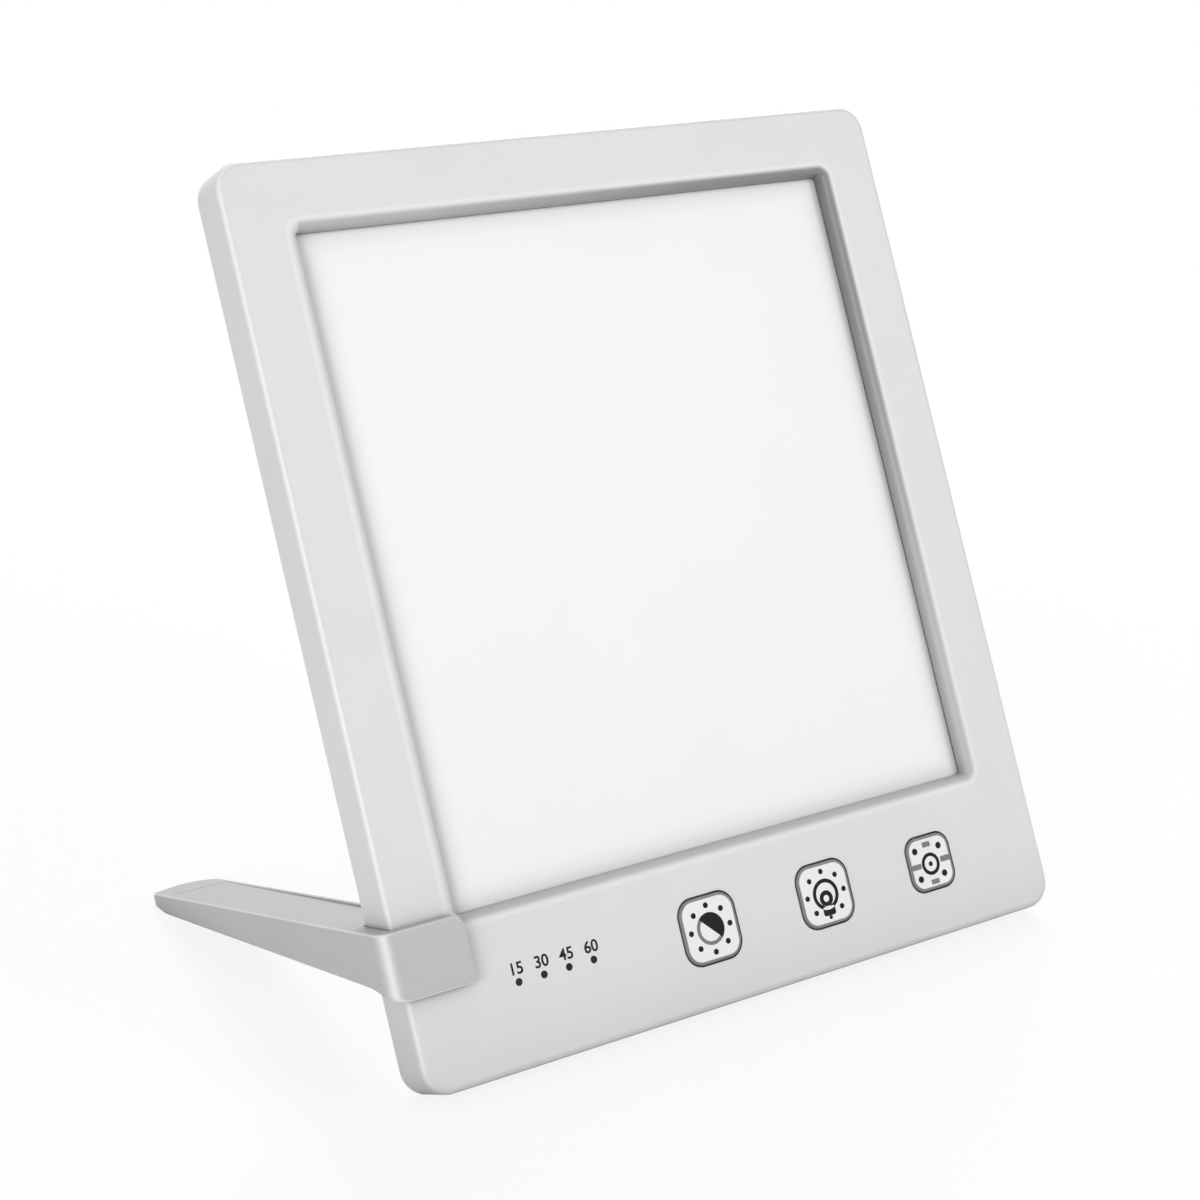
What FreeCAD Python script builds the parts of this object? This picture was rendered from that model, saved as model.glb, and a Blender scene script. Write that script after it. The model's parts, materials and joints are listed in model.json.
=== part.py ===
import FreeCAD, Part
import math
import os

from FreeCAD import Vector

# A flat light panel that leans back on the table, held by one clip foot on its left edge.
# The panel is drawn lying in its own plane: x to the right, y up the face, z out of the front face.
# stand_up() then leans it back on the table, where +Z is up, the panel faces -Y and x stays to the right.

# Driving dimensions, millimetres and degrees

# Window and the bezel round it
WINDOW_WIDTH = 134.4
WINDOW_HEIGHT = 140.9
SIDE_BEZEL = 15.3
TOP_BEZEL = 15.5
BOTTOM_BEZEL = 33.6
WINDOW_CORNER_RADIUS = 1.0
WINDOW_EDGE_RADIUS = 2.0
CASE_CORNER_RADIUS = 6.0
FRONT_EDGE_RADIUS = 1.4
REAR_EDGE_RADIUS = 0.8

# Walls
FRONT_WALL = 1.8
SIDE_WALL = 2.2
REAR_WALL = 1.6
LEDGE_WIDTH = 0.9
LIP_WALL = 1.4

# Layers behind the window, front to back
WINDOW_DEPTH = 3.7
GASKET_THICKNESS = 0.4
DIFFUSER_THICKNESS = 1.2
FILM_THICKNESS = 0.25
GUIDE_THICKNESS = 1.8
REFLECTOR_THICKNESS = 0.25
TRAY_THICKNESS = 0.5
BACK_SPACE = 1.7

# Overlap of the layers behind the bezel
DIFFUSER_OVERLAP = 1.8
GUIDE_OVERLAP = 2.5

# Light strips beside the guide
STRIP_THICKNESS = 0.8
STRIP_DEPTH = 2.4
STRIP_START = 25.0
STRIP_END_MARGIN = 12.0
CHIP_THICKNESS = 0.7
CHIP_LENGTH = 2.8
CHIP_DEPTH = 1.4
CHIP_PITCH = 7.0
CHIP_GAP = 0.2
RIB_THICKNESS = 1.0
COVER_RIBS = 3

# Keys, measured from the panel's right and bottom edges
KEYS_FROM_RIGHT = {"brightness": 92.7, "colour": 61.9, "timer": 32.0}
KEY_OPENINGS = {"brightness": 14.8, "colour": 14.4, "timer": 12.8}
KEY_HEIGHT_ON_PANEL = 16.6
KEY_CORNER_RADIUS = 4.1
KEY_GAP = 0.35
KEY_PROUD = 0.3
KEY_EDGE_RADIUS = 0.35
KEY_TRAVEL = 0.6
KEY_TRAVEL_SPARE = 0.3
KEY_RETAINER = 1.1
KEY_RETAINER_THICKNESS = 0.8
KEY_RETAINER_GAP = 0.2
KEY_STEM_RADIUS = 2.5
KEY_STEM_LENGTH = 1.0

# Switches under the keys
SWITCH_SIDE = 6.0
SWITCH_CORNER_RADIUS = 0.5
SWITCH_FLOOR = 0.4
PLUNGER_RADIUS = 1.6
PLUNGER_SUNK = 0.8
RUNNING_CLEARANCE = 0.06

# Timer lights
TIMER_NAMES = ("15", "30", "45", "60")
TIMER_FIRST = 25.2
TIMER_PITCH = 6.0
TIMER_HEIGHT_ON_PANEL = 17.4
TIMER_LENS_RADIUS = 0.75
TIMER_LENS_PLAY = 0.05
TIMER_LENS_COLLAR = 0.5
TIMER_LENS_COLLAR_THICKNESS = 0.6
TIMER_CHIP = (1.6, 1.0, 0.6)
TIMER_CHIP_GAP = 0.2

# Control board and what is on it
BOARD_THICKNESS = 1.2
BOARD_BOTTOM = 5.0
BOARD_TOP = 24.5
BOARD_END_GAP = 11.0
POST_RADIUS = 2.3
POST_INSET = 4.0
DRIVER_CHIP = (6.0, 6.0, 1.0)
COIL_RADIUS = 3.2
COIL_HEIGHT = 1.5
COIL_EDGE_RADIUS = 0.4
CAPACITOR_RADIUS = 2.0
CAPACITOR_HEIGHT = 3.6
CAPACITOR_EDGE_RADIUS = 0.3
CAPACITOR_GAP = 1.0
CONNECTOR_WIDTH = 4.0
CONNECTOR_ON_BOARD = 3.2
CONNECTOR_REACH = 3.5
CONNECTOR_HEIGHT = 2.0

# Power socket in the right side wall
SOCKET_HEIGHT_ON_PANEL = 17.0
SOCKET_HOLE_RADIUS = 3.2
JACK_BORE_RADIUS = 3.0
JACK_BORE_DEPTH = 9.0
JACK_LENGTH = 11.5
JACK_WIDTH = 8.0
JACK_HEIGHT = 7.0
JACK_PIN_RADIUS = 1.0
JACK_PIN_LENGTH = 5.0
JACK_PIN_TIP_RADIUS = 0.5

# Screws
CASE_BOSS_INSET = 5.9
CASE_BOSS_END_INSET = 10.0
CASE_BOSS_RADIUS = 2.6
CASE_SCREW_RADIUS = 1.15
CASE_SCREW_LENGTH = 5.5
CASE_HEAD_RADIUS = 2.1
CASE_HEAD_HEIGHT = 1.0
CASE_HEAD_SUNK = 0.1
SCREW_SEAT = 1.0
BOARD_SCREW_RADIUS = 0.9
BOARD_SCREW_LENGTH = 4.0
BOARD_HEAD_RADIUS = 1.7
BOARD_HEAD_HEIGHT = 0.9
SCREW_PLAY = 0.05
PILOT_SPARE = 0.3
HEAD_PLAY = 0.25
DRIVE_SLOT_DEPTH = 0.4
DRIVE_SLOT_REACH = 0.62
DRIVE_SLOT_HALF = 0.14
HEAD_ROUNDING = 0.35
FIT_GAP = 0.15

# How the lamp stands
LEAN_ANGLE = 24.3
REST_CUT = 0.3

# Clip foot
JAW_GAP = 0.3
PAD_THICKNESS = 2.4
PAD_WIDTH = 15.1
PAD_BOTTOM = 19.2
PAD_TOP = 33.9
PAD_CORNER_RADIUS = 3.0
PAD_LOW_CORNER_RADIUS = 1.5
WEB_THICKNESS = 3.7
FOOT_CORNER_RADIUS = 4.0
ARM_WIDTH = 15.9
ARM_REACH = 118.0
ARM_TIP_THICKNESS = 0.9
ARM_ROOT_BOTTOM = 24.0
ARM_ROOT_DEPTH = 8.0
ARM_NOSE = 6.0
ARM_END_RADIUS = 7.5
FOOT_EDGE_RADIUS = 0.8
ARM_WALL = 1.7
TIP_FLAT_SPARE = 1.65
TIP_RADIUS = 1.0
TOP_GROOVE_DEPTH = 0.6
TOP_GROOVE_END_DEPTH = 0.05
TOP_GROOVE_MARGIN = 1.5
TOP_GROOVE_START = 4.0
TOP_GROOVE_END = 8.0
TOP_GROOVE_CORNER_RADIUS = 1.5
FOOT_COVER_THICKNESS = 1.3
FOOT_COVER_START = 16.0
FOOT_COVER_END = 82.0
FOOT_COVER_CORNER_RADIUS = 2.0
FOOT_CORE_MARGIN = 1.2
FOOT_BOSS_RADIUS = 2.1
FOOT_SCREW_RADIUS = 0.9
FOOT_SCREW_LENGTH = 3.2
FOOT_HEAD_RADIUS = 1.6
FOOT_HEAD_HEIGHT = 0.7
FOOT_SCREW_INSET = 6.0
TIP_PAD_LENGTH = 9.0
TIP_PAD_WIDTH = 4.4
TIP_PAD_THICKNESS = 1.0
TIP_PAD_PROUD = 0.3
TIP_PAD_CORNER_RADIUS = 1.2

# How cutting and joining are done
CUT_PAST = 1.0
TOOL_OVERLAP = 0.01
WELD_DEPTH = 0.5
TOLERANCE = 1e-3
AXIS_ANGLE = 25.0

# Worked out from the driving dimensions
PANEL_WIDTH = WINDOW_WIDTH + 2 * SIDE_BEZEL
PANEL_HEIGHT = WINDOW_HEIGHT + TOP_BEZEL + BOTTOM_BEZEL
DIFFUSER_FRONT = -WINDOW_DEPTH
FILM_FRONT = DIFFUSER_FRONT - DIFFUSER_THICKNESS
GUIDE_FRONT = FILM_FRONT - FILM_THICKNESS
REFLECTOR_FRONT = GUIDE_FRONT - GUIDE_THICKNESS
TRAY_FRONT = REFLECTOR_FRONT - REFLECTOR_THICKNESS
TRAY_BACK = TRAY_FRONT - TRAY_THICKNESS
COVER_INNER = TRAY_BACK - BACK_SPACE
CASE_BACK = COVER_INNER - REAR_WALL
LIP_END = DIFFUSER_FRONT + GASKET_THICKNESS
CHIP_MIDDLE = GUIDE_FRONT - GUIDE_THICKNESS / 2
RETAINER_FRONT = -FRONT_WALL - KEY_RETAINER_GAP
RETAINER_BACK = RETAINER_FRONT - KEY_RETAINER_THICKNESS
STEM_END = RETAINER_BACK - KEY_STEM_LENGTH
SWITCH_TOP = STEM_END - KEY_TRAVEL - KEY_TRAVEL_SPARE
SWITCH_HEIGHT = SWITCH_FLOOR + KEY_TRAVEL_SPARE + KEY_TRAVEL + PLUNGER_SUNK
BOARD_FRONT = SWITCH_TOP - SWITCH_HEIGHT
BOARD_BACK = BOARD_FRONT - BOARD_THICKNESS
BOARD_LEFT = BOARD_END_GAP
BOARD_RIGHT = PANEL_WIDTH - BOARD_END_GAP
GUIDE_LEFT = SIDE_BEZEL - GUIDE_OVERLAP
STRIP_INNER = GUIDE_LEFT - CHIP_GAP - CHIP_THICKNESS
STRIP_OUTER = STRIP_INNER - STRIP_THICKNESS
STRIP_END = PANEL_HEIGHT - STRIP_END_MARGIN
JACK_BACK = PANEL_WIDTH - SIDE_WALL - JACK_LENGTH
JACK_MIDDLE = (COVER_INNER - FRONT_WALL) / 2
HEAD_DEPTH = CASE_HEAD_HEIGHT + CASE_HEAD_SUNK
COVER_BOSS_TOP = CASE_BACK + HEAD_DEPTH + SCREW_SEAT
KEY_CENTRES = {name: PANEL_WIDTH - place for name, place in KEYS_FROM_RIGHT.items()}
LAST_LIGHT = TIMER_FIRST + TIMER_PITCH * (len(TIMER_NAMES) - 1)
LEAN = math.radians(LEAN_ANGLE)

# The table's plane, in the panel's own frame: y * cos(LEAN) + z * sin(LEAN) = TABLE_LEVEL
EDGE_CENTRE_Y = REAR_EDGE_RADIUS
EDGE_CENTRE_Z = CASE_BACK + REAR_EDGE_RADIUS
EDGE_LOW = EDGE_CENTRE_Y * math.cos(LEAN) + EDGE_CENTRE_Z * math.sin(LEAN) - REAR_EDGE_RADIUS
TABLE_LEVEL = EDGE_LOW + REST_CUT
EDGE_DEPTH = EDGE_CENTRE_Y * math.sin(LEAN) - EDGE_CENTRE_Z * math.cos(LEAN)

# Foot outline in the panel's frame
FOOT_FRONT = JAW_GAP + PAD_THICKNESS
FOOT_LEFT = -JAW_GAP - WEB_THICKNESS
ARM_RIGHT = FOOT_LEFT + ARM_WIDTH
ARM_START = CASE_BACK - JAW_GAP
TIP_CORNER = math.atan2(ARM_WIDTH, ARM_NOSE)
TIP_FLAT = ARM_END_RADIUS / math.tan(TIP_CORNER / 2) + TIP_FLAT_SPARE


def table_height(z, lift=0.0):
    """Height up the panel at which the table, or a plane lifted off it, passes depth z."""
    return (TABLE_LEVEL + lift - z * math.sin(LEAN)) / math.cos(LEAN)


def runs_along(direction, axis):
    """Whether a direction runs along an axis, within the axis angle."""
    return direction.getAngle(axis) < math.radians(AXIS_ANGLE)


def prism(points, direction):
    """A closed outline of 3-D points, pushed along a direction."""
    wire = Part.makePolygon(points + points[:1])
    return Part.Face(wire).extrude(direction)


def block(x0, y0, x1, y1, z0, z1):
    """A plain box between two heights."""
    low = Vector(min(x0, x1), min(y0, y1), min(z0, z1))
    return Part.makeBox(abs(x1 - x0), abs(y1 - y0), abs(z1 - z0), low)


def rod(x, y, z0, z1, radius):
    """A cylinder along z."""
    return Part.makeCylinder(radius, abs(z1 - z0), Vector(x, y, min(z0, z1)))


def slab(x0, y0, x1, y1, z0, z1, radius):
    """A box with its four upright edges rounded."""
    body = block(x0, y0, x1, y1, z0, z1)
    if radius <= 0:
        return body
    upright = [e for e in body.Edges if e.BoundBox.ZLength > abs(z1 - z0) / 2]
    return body.makeFillet(radius, upright)


def edges_at(shape, z):
    """Every edge that lies flat at height z."""
    return [e for e in shape.Edges if max(abs(e.BoundBox.ZMin - z), abs(e.BoundBox.ZMax - z)) < TOLERANCE]


def union(first, others):
    """First joined with each of the others."""
    return first.multiFuse(others).removeSplitter() if others else first


def without(body, tools):
    """Body with each tool cut away."""
    return body.cut(Part.makeCompound(tools))


def mirrored(shape):
    """The same piece on the other side of the panel's upright centre plane."""
    return shape.mirror(Vector(PANEL_WIDTH / 2, 0, 0), Vector(1, 0, 0))


def screw(radius, length, head_radius, head_height):
    """A pan-head screw with a cross slot: head from z=0 up, shank down."""
    body = rod(0, 0, 0, head_height, head_radius)
    body = body.makeFillet(head_height * HEAD_ROUNDING, edges_at(body, head_height))
    body = union(body, [rod(0, 0, -length, 0, radius)])
    reach = head_radius * DRIVE_SLOT_REACH
    half = head_radius * DRIVE_SLOT_HALF
    floor = head_height - DRIVE_SLOT_DEPTH
    slots = [
        block(-reach, -half, reach, half, floor, head_height + CUT_PAST),
        block(-half, -reach, half, reach, floor, head_height + CUT_PAST),
    ]
    return without(body, slots)


def stand_up(shape):
    """Carries a piece from the panel's frame to the table: leant back, resting strip on the origin."""
    placed = shape.copy()
    placed.rotate(Vector(0, 0, 0), Vector(1, 0, 0), 90 - LEAN_ANGLE)
    placed.translate(Vector(-PANEL_WIDTH / 2, -EDGE_DEPTH, -TABLE_LEVEL))
    return placed


def window_slab(grow, z0, z1, radius):
    """The window's outline, grown by a margin, between two heights."""
    return slab(
        SIDE_BEZEL - grow,
        BOTTOM_BEZEL - grow,
        PANEL_WIDTH - SIDE_BEZEL + grow,
        PANEL_HEIGHT - TOP_BEZEL + grow,
        z0,
        z1,
        radius,
    )


def case_boss_places():
    """Screw places: two at the bottom, two halfway, two at the top."""
    left = CASE_BOSS_INSET
    right = PANEL_WIDTH - CASE_BOSS_INSET
    heights = (CASE_BOSS_END_INSET, PANEL_HEIGHT / 2, PANEL_HEIGHT - CASE_BOSS_END_INSET)
    return [(x, y) for y in heights for x in (left, right)]


def free_stretch_middle():
    """Middle of the board's free stretch between the timer lights and the first key."""
    return (LAST_LIGHT + KEY_CENTRES["brightness"] - KEY_OPENINGS["brightness"] / 2) / 2


def board_post_places():
    """Four posts, clear of the keys: at both ends and between the controls."""
    xs = (
        BOARD_LEFT + POST_INSET,
        free_stretch_middle(),
        (KEY_CENTRES["colour"] + KEY_CENTRES["timer"]) / 2,
        JACK_BACK - POST_INSET,
    )
    return [(x, BOARD_BOTTOM + POST_INSET) for x in xs]


def timer_places():
    """Centres of the timer lights."""
    return [(TIMER_FIRST + TIMER_PITCH * i, TIMER_HEIGHT_ON_PANEL) for i in range(len(TIMER_NAMES))]


def key_square(name, grow, z0, z1):
    """A key's rounded square opening, grown by a margin, between two heights."""
    half = KEY_OPENINGS[name] / 2 + grow
    x = KEY_CENTRES[name]
    y = KEY_HEIGHT_ON_PANEL
    radius = KEY_CORNER_RADIUS * KEY_OPENINGS[name] / max(KEY_OPENINGS.values()) + grow
    return slab(x - half, y - half, x + half, y + half, z0, z1, radius)


def socket_rod(radius, x0, x1):
    """A cylinder along x through the power socket's axis."""
    start = Vector(x0, SOCKET_HEIGHT_ON_PANEL, JACK_MIDDLE)
    return Part.makeCylinder(radius, x1 - x0, start, Vector(1, 0, 0))


# Case


def table_cutter():
    """Everything under the table's plane, in the panel's frame."""
    reach = 3 * (PANEL_HEIGHT + ARM_REACH)
    low = Part.makeBox(reach, reach, reach, Vector(-reach / 2, -reach / 2, -reach))
    low.rotate(Vector(0, 0, 0), Vector(1, 0, 0), LEAN_ANGLE - 90)
    shift = Vector(0, TABLE_LEVEL * math.cos(LEAN), TABLE_LEVEL * math.sin(LEAN))
    low.translate(shift)
    return low


def front_case():
    """Bezel, side walls, window lip, bosses and posts, moulded in one."""
    outer = slab(0, 0, PANEL_WIDTH, PANEL_HEIGHT, CASE_BACK, 0, CASE_CORNER_RADIUS)
    outer = outer.makeFillet(FRONT_EDGE_RADIUS, edges_at(outer, 0))
    outer = outer.makeFillet(REAR_EDGE_RADIUS, edges_at(outer, CASE_BACK))
    inner_radius = CASE_CORNER_RADIUS - SIDE_WALL
    rim = SIDE_WALL - LEDGE_WIDTH
    hollow = [
        slab(
            SIDE_WALL,
            SIDE_WALL,
            PANEL_WIDTH - SIDE_WALL,
            PANEL_HEIGHT - SIDE_WALL,
            COVER_INNER - TOOL_OVERLAP,
            -FRONT_WALL,
            inner_radius,
        ),
        slab(
            rim,
            rim,
            PANEL_WIDTH - rim,
            PANEL_HEIGHT - rim,
            CASE_BACK - CUT_PAST,
            COVER_INNER,
            CASE_CORNER_RADIUS - rim,
        ),
    ]
    body = without(outer, hollow)
    added = [window_slab(LIP_WALL, LIP_END, -FRONT_WALL, WINDOW_CORNER_RADIUS + LIP_WALL)]
    added += [rod(x, y, COVER_BOSS_TOP, -FRONT_WALL, CASE_BOSS_RADIUS) for x, y in case_boss_places()]
    added += [rod(x, y, BOARD_FRONT, -FRONT_WALL, POST_RADIUS) for x, y in board_post_places()]
    rib = block(
        STRIP_OUTER - RIB_THICKNESS,
        STRIP_START + CONNECTOR_REACH,
        STRIP_OUTER,
        STRIP_END,
        CHIP_MIDDLE - STRIP_DEPTH / 2,
        -FRONT_WALL,
    )
    added += [rib, mirrored(rib)]
    body = union(body, added)
    body = body.cut(window_slab(0, CASE_BACK - CUT_PAST, CUT_PAST, WINDOW_CORNER_RADIUS))
    body = body.makeFillet(WINDOW_EDGE_RADIUS, window_rim(body))
    holes = [key_square(name, 0, -FRONT_WALL - CUT_PAST, CUT_PAST) for name in KEY_CENTRES]
    lens_hole = TIMER_LENS_RADIUS + TIMER_LENS_PLAY
    holes += [rod(x, y, -FRONT_WALL - CUT_PAST, CUT_PAST, lens_hole) for x, y in timer_places()]
    pilot = CASE_SCREW_RADIUS + SCREW_PLAY
    pilot_end = COVER_BOSS_TOP + CASE_SCREW_LENGTH - SCREW_SEAT + PILOT_SPARE
    holes += [rod(x, y, COVER_BOSS_TOP - CUT_PAST, pilot_end, pilot) for x, y in case_boss_places()]
    pilot = BOARD_SCREW_RADIUS + SCREW_PLAY
    pilot_end = BOARD_BACK + BOARD_SCREW_LENGTH + PILOT_SPARE
    holes += [rod(x, y, BOARD_FRONT - CUT_PAST, pilot_end, pilot) for x, y in board_post_places()]
    inner_side = PANEL_WIDTH - SIDE_WALL - CUT_PAST
    holes.append(socket_rod(SOCKET_HOLE_RADIUS, inner_side, PANEL_WIDTH + CUT_PAST))
    holes.append(table_cutter())
    return without(body, holes)


def window_rim(body):
    """The window's edges on the front face."""
    inside = window_slab(TOOL_OVERLAP, -TOOL_OVERLAP, TOOL_OVERLAP, 0).BoundBox
    return [e for e in edges_at(body, 0) if inside.isInside(e.BoundBox)]


def rear_cover():
    """Flat back plate, with screw seats and pads that press on the tray."""
    edge = SIDE_WALL - LEDGE_WIDTH + FIT_GAP
    plate = slab(
        edge,
        edge,
        PANEL_WIDTH - edge,
        PANEL_HEIGHT - edge,
        CASE_BACK,
        COVER_INNER,
        CASE_CORNER_RADIUS - edge,
    )
    added = []
    for x, y in case_boss_places():
        added.append(rod(x, y, COVER_INNER - WELD_DEPTH, COVER_BOSS_TOP, CASE_BOSS_RADIUS))
    left = SIDE_BEZEL
    right = PANEL_WIDTH - SIDE_BEZEL
    low = BOTTOM_BEZEL
    high = PANEL_HEIGHT - TOP_BEZEL
    half = RIB_THICKNESS / 2
    root = COVER_INNER - WELD_DEPTH
    for i in range(1, COVER_RIBS + 1):
        x = left + (right - left) * i / (COVER_RIBS + 1)
        y = low + (high - low) * i / (COVER_RIBS + 1)
        added.append(block(x - half, low, x + half, high, root, TRAY_BACK))
        added.append(block(left, y - half, right, y + half, root, TRAY_BACK))
    body = union(plate, added)
    holes = []
    for x, y in case_boss_places():
        holes.append(rod(x, y, CASE_BACK - CUT_PAST, CASE_BACK + HEAD_DEPTH, CASE_HEAD_RADIUS + HEAD_PLAY))
        holes.append(rod(x, y, CASE_BACK, COVER_BOSS_TOP + CUT_PAST, CASE_SCREW_RADIUS + 2 * SCREW_PLAY))
    return without(body, holes)


def case_screws():
    """Six screws through the back plate into the case's bosses."""
    screws = []
    for x, y in case_boss_places():
        piece = screw(CASE_SCREW_RADIUS, CASE_SCREW_LENGTH, CASE_HEAD_RADIUS, CASE_HEAD_HEIGHT)
        piece.rotate(Vector(0, 0, 0), Vector(1, 0, 0), 180)
        piece.translate(Vector(x, y, CASE_BACK + HEAD_DEPTH))
        screws.append(piece)
    return Part.makeCompound(screws)


# Light layers


def layer(grow, front, thickness):
    """A sheet behind the window."""
    return window_slab(grow, front - thickness, front, 0)


def window_gasket():
    """Foam frame between the window lip and the diffuser."""
    outer = window_slab(LIP_WALL, DIFFUSER_FRONT, LIP_END, WINDOW_CORNER_RADIUS + LIP_WALL)
    return outer.cut(window_slab(0, DIFFUSER_FRONT - CUT_PAST, LIP_END + CUT_PAST, WINDOW_CORNER_RADIUS))


def diffuser_plate():
    """Opal plate that shows in the window."""
    return layer(DIFFUSER_OVERLAP, DIFFUSER_FRONT, DIFFUSER_THICKNESS)


def prism_film():
    """Brightness film behind the diffuser."""
    return layer(DIFFUSER_OVERLAP, FILM_FRONT, FILM_THICKNESS)


def light_guide():
    """Clear plate that spreads the light of the two strips."""
    return layer(GUIDE_OVERLAP, GUIDE_FRONT, GUIDE_THICKNESS)


def reflector_sheet():
    """White sheet behind the guide."""
    return layer(GUIDE_OVERLAP, REFLECTOR_FRONT, REFLECTOR_THICKNESS)


def back_tray():
    """Thin metal sheet that stiffens the layers and spreads heat."""
    return layer(GUIDE_OVERLAP, TRAY_FRONT, TRAY_THICKNESS)


def led_strip():
    """Narrow board on edge beside the guide, left side."""
    half = STRIP_DEPTH / 2
    return block(STRIP_OUTER, STRIP_START, STRIP_INNER, STRIP_END, CHIP_MIDDLE - half, CHIP_MIDDLE + half)


def led_chips():
    """The strip's chips, as many as the pitch allows along the guide."""
    low = BOTTOM_BEZEL
    high = PANEL_HEIGHT - TOP_BEZEL
    count = int((high - low) // CHIP_PITCH) + 1
    start = (low + high - (count - 1) * CHIP_PITCH) / 2
    half = CHIP_DEPTH / 2
    chips = []
    for i in range(count):
        y = start + i * CHIP_PITCH
        chips.append(
            block(
                STRIP_INNER,
                y - CHIP_LENGTH / 2,
                STRIP_INNER + CHIP_THICKNESS,
                y + CHIP_LENGTH / 2,
                CHIP_MIDDLE - half,
                CHIP_MIDDLE + half,
            )
        )
    return Part.makeCompound(chips)


# Controls


def key_cap(name):
    """One push key: a rounded square cap, its retaining flange and its stem."""
    cap = key_square(name, -KEY_GAP, RETAINER_FRONT, KEY_PROUD)
    cap = cap.makeFillet(KEY_EDGE_RADIUS, edges_at(cap, KEY_PROUD))
    flange = key_square(name, KEY_RETAINER, RETAINER_BACK, RETAINER_FRONT)
    stem = rod(KEY_CENTRES[name], KEY_HEIGHT_ON_PANEL, STEM_END, RETAINER_BACK, KEY_STEM_RADIUS)
    return union(cap, [flange, stem])


def switch_plunger(name):
    """The switch's round button, which the key's stem rests on."""
    return rod(KEY_CENTRES[name], KEY_HEIGHT_ON_PANEL, SWITCH_TOP - PLUNGER_SUNK, STEM_END, PLUNGER_RADIUS)


def switch_base(name):
    """The switch's square housing on the board."""
    x = KEY_CENTRES[name]
    y = KEY_HEIGHT_ON_PANEL
    half = SWITCH_SIDE / 2
    body = slab(x - half, y - half, x + half, y + half, BOARD_FRONT, SWITCH_TOP, SWITCH_CORNER_RADIUS)
    well = rod(x, y, BOARD_FRONT + SWITCH_FLOOR, SWITCH_TOP + CUT_PAST, PLUNGER_RADIUS + RUNNING_CLEARANCE)
    return body.cut(well)


def timer_lens(place):
    """A small light pipe from the board's chip to the front face."""
    x, y = place
    tail = BOARD_FRONT + TIMER_CHIP[2] + TIMER_CHIP_GAP
    collar = rod(
        x,
        y,
        -FRONT_WALL - TIMER_LENS_COLLAR_THICKNESS,
        -FRONT_WALL,
        TIMER_LENS_RADIUS + TIMER_LENS_COLLAR,
    )
    return union(rod(x, y, tail, 0, TIMER_LENS_RADIUS), [collar])


def timer_chips():
    """The chips that light the four timer lights."""
    w, h, t = TIMER_CHIP
    chips = [
        block(x - w / 2, y - h / 2, x + w / 2, y + h / 2, BOARD_FRONT, BOARD_FRONT + t)
        for x, y in timer_places()
    ]
    return Part.makeCompound(chips)


# Board and power


def control_board():
    """Board across the bottom bezel, with screw holes and a notch for the jack."""
    board = block(BOARD_LEFT, BOARD_BOTTOM, BOARD_RIGHT, BOARD_TOP, BOARD_BACK, BOARD_FRONT)
    half = JACK_WIDTH / 2
    tools = [
        block(
            JACK_BACK,
            SOCKET_HEIGHT_ON_PANEL - half,
            PANEL_WIDTH,
            SOCKET_HEIGHT_ON_PANEL + half,
            BOARD_BACK - CUT_PAST,
            BOARD_FRONT + CUT_PAST,
        )
    ]
    hole = BOARD_SCREW_RADIUS + 2 * SCREW_PLAY
    for x, y in board_post_places():
        tools.append(rod(x, y, BOARD_BACK - CUT_PAST, BOARD_FRONT + CUT_PAST, hole))
    return without(board, tools)


def board_screws():
    """Four screws that hold the board on its posts."""
    screws = []
    for x, y in board_post_places():
        piece = screw(BOARD_SCREW_RADIUS, BOARD_SCREW_LENGTH, BOARD_HEAD_RADIUS, BOARD_HEAD_HEIGHT)
        piece.rotate(Vector(0, 0, 0), Vector(1, 0, 0), 180)
        piece.translate(Vector(x, y, BOARD_BACK))
        screws.append(piece)
    return Part.makeCompound(screws)


def strip_connector():
    """Block that joins the left strip's end to the board."""
    return block(
        STRIP_INNER,
        BOARD_TOP - CONNECTOR_ON_BOARD,
        STRIP_INNER + CONNECTOR_WIDTH,
        STRIP_START + CONNECTOR_REACH,
        BOARD_FRONT,
        BOARD_FRONT + CONNECTOR_HEIGHT,
    )


def driver_chip():
    """Driver circuit on the board."""
    w, h, t = DRIVER_CHIP
    x = (KEY_CENTRES["brightness"] + KEY_CENTRES["colour"]) / 2
    y = KEY_HEIGHT_ON_PANEL
    return block(x - w / 2, y - h / 2, x + w / 2, y + h / 2, BOARD_FRONT, BOARD_FRONT + t)


def driver_coil():
    """Round power coil on the board."""
    x = free_stretch_middle()
    y = TIMER_HEIGHT_ON_PANEL
    body = rod(x, y, BOARD_FRONT, BOARD_FRONT + COIL_HEIGHT, COIL_RADIUS)
    return body.makeFillet(COIL_EDGE_RADIUS, edges_at(body, BOARD_FRONT + COIL_HEIGHT))


def filter_capacitor():
    """Round capacitor beside the power jack."""
    x = JACK_BACK - CAPACITOR_RADIUS - CAPACITOR_GAP
    top = BOARD_FRONT + CAPACITOR_HEIGHT
    body = rod(x, SOCKET_HEIGHT_ON_PANEL, BOARD_FRONT, top, CAPACITOR_RADIUS)
    return body.makeFillet(CAPACITOR_EDGE_RADIUS, edges_at(body, top))


def power_jack():
    """Round power socket behind the right side wall."""
    right = PANEL_WIDTH - SIDE_WALL
    y = SOCKET_HEIGHT_ON_PANEL
    half_w = JACK_WIDTH / 2
    half_h = JACK_HEIGHT / 2
    body = block(JACK_BACK, y - half_w, right, y + half_w, JACK_MIDDLE - half_h, JACK_MIDDLE + half_h)
    return body.cut(socket_rod(JACK_BORE_RADIUS, right - JACK_BORE_DEPTH, right + CUT_PAST))


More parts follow.
